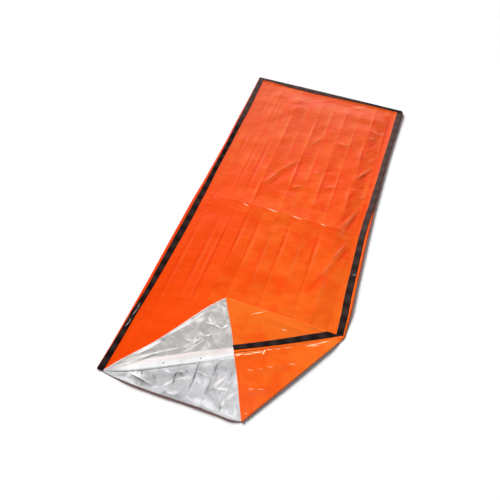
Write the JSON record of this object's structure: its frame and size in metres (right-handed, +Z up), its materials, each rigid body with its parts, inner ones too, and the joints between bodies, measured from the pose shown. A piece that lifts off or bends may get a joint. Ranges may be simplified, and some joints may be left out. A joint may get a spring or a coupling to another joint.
{
  "type": "emergency sleeping bag",
  "caption": "Flat rectangular emergency sleeping bag of orange film, silver inside, black tape along its closed edges, lying with a mouth corner opened and folded back.",
  "frame": {"origin": "on the surface that the bag lies on, under the centre of its outline", "axes": "+X across the bag to the right as seen from the mouth, +Y from the mouth to the closed foot, +Z up"},
  "size_m": [0.9, 2.0004, 0.0267],
  "materials": {
    "orange_film": "creased polyethylene film, glossy, metallised silver on the inside",
    "black_tape": "black woven cloth tape, matt"
  },
  "bodies": {
    "root": {"top_panel": "orange_film", "bottom_panel": "orange_film", "tape_left": "black_tape", "tape_right": "black_tape", "tape_foot": "black_tape"}
  },
  "joints": []
}
